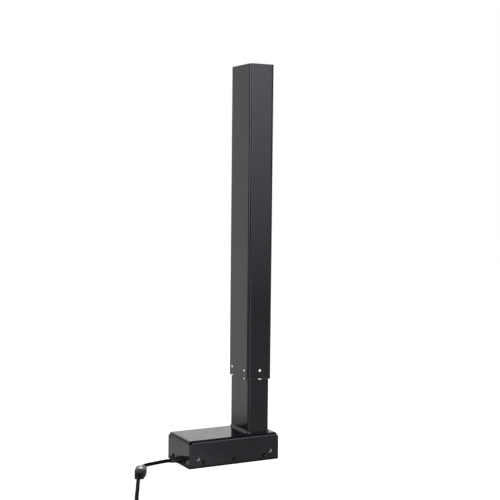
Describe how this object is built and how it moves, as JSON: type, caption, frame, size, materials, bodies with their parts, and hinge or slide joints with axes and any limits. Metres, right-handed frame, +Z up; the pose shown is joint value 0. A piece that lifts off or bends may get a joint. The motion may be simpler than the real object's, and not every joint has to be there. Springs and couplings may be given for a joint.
{
  "type": "electric desk lift column",
  "caption": "Two-stage rectangular desk lift column standing on its box with motor, worm drive and coiled lead.",
  "frame": {"origin": "floor point under the column's axis, on the underside of the motor box's bottom cover", "axes": "+Z up along the column, +X towards the short end of the motor box, +Y towards its back"},
  "size_m": [0.4151, 0.406, 0.742],
  "materials": {
    "grey_paint": "satin powder coat, mid grey",
    "black_screw": "black oxide",
    "zinc_steel": "bright zinc",
    "bare_steel": "oiled bare steel",
    "white_acetal": "moulded, matte",
    "black_acetal": "moulded, matte",
    "die_casting": "as cast",
    "bronze": "sintered, matte",
    "copper": "enamelled",
    "ferrite": "ground",
    "carbon": "pressed",
    "circuit_board": "solder mask",
    "white_plastic": "moulded",
    "rubber_pad": "matte",
    "black_nylon": "moulded, satin",
    "cable_sheath": "extruded, satin",
    "wire_sleeve": "extruded",
    "connector_plastic": "moulded, satin"
  },
  "bodies": {
    "base": {"board_header": "white_plastic", "bottom_cover": "grey_paint", "box_shell": "grey_paint", "brush_card": "black_acetal", "cable_gland": "black_nylon", "carbon_brushes": "carbon", "coil_tie": "black_nylon", "cover_screws": "black_screw", "extension_cable": "cable_sheath", "extension_coil": "cable_sheath", "extension_connector": "connector_plastic", "extension_plug": "connector_plastic", "extension_tail": "cable_sheath", "gearbox_cover": "die_casting", "gearbox_housing": "die_casting", "gearbox_screws": "zinc_steel", "gland_locknut": "black_nylon", "inner_tube": "grey_paint", "lead_connector": "connector_plastic", "lead_inside": "cable_sheath", "lead_wires": "wire_sleeve", "lower_bearing_balls": "bare_steel", "lower_bearing_outer_ring": "bare_steel", "motor_bolts": "zinc_steel", "motor_can": "bare_steel", "motor_end_cap": "black_acetal", "motor_front_bush": "bronze", "motor_front_plate": "bare_steel", "motor_lead": "cable_sheath", "motor_magnets": "ferrite", "motor_rear_bush": "bronze", "motor_saddle": "rubber_pad", "sensor_board": "circuit_board", "side_nuts": "zinc_steel", "tube_welds": "grey_paint", "upper_bearing_balls": "bare_steel", "upper_bearing_outer_ring": "bare_steel", "upper_glide_collar": "black_acetal", "worm_end_bush": "bronze"},
    "column": {"outer_tube": "grey_paint", "end_plate": "grey_paint", "column_bolt": "zinc_steel", "lower_glides": "white_acetal", "nut_tube": "zinc_steel", "nut_tube_plug": "black_acetal", "spindle_nut": "white_acetal", "nut_pins": "bare_steel"},
    "rotor": {"worm_shaft": "bare_steel", "armature_core": "bare_steel", "armature_windings": "copper", "commutator": "copper", "sensor_magnet": "ferrite"},
    "spindle": {"spindle": "bare_steel", "worm_wheel": "white_acetal", "wheel_key": "bare_steel", "lower_bearing_inner_ring": "bare_steel", "upper_bearing_inner_ring": "bare_steel", "spindle_circlip": "bare_steel", "spindle_guide": "black_acetal", "guide_screw": "zinc_steel"}
  },
  "joints": [
    {"name": "lift", "type": "slide", "parent": "base", "child": "column", "axis": [0, 0, 1], "range_m": [-0.088, 0.392]},
    {"name": "motor_turn", "type": "hinge", "parent": "base", "child": "rotor", "pos_m": [0, -0.021, 0.0245], "axis": [1, 0, 0], "range_deg": [-59401, 264601]},
    {"name": "spindle_turn", "type": "hinge", "parent": "base", "child": "spindle", "pos_m": [0, 0, 0], "axis": [0, 0, 1], "range_deg": [-17640.1, 3960.1]}
  ],
  "couplings": [
    {"joint": "motor_turn", "follows": "lift", "rad_per_m": 11781},
    {"joint": "spindle_turn", "follows": "lift", "rad_per_m": -785.4}
  ]
}
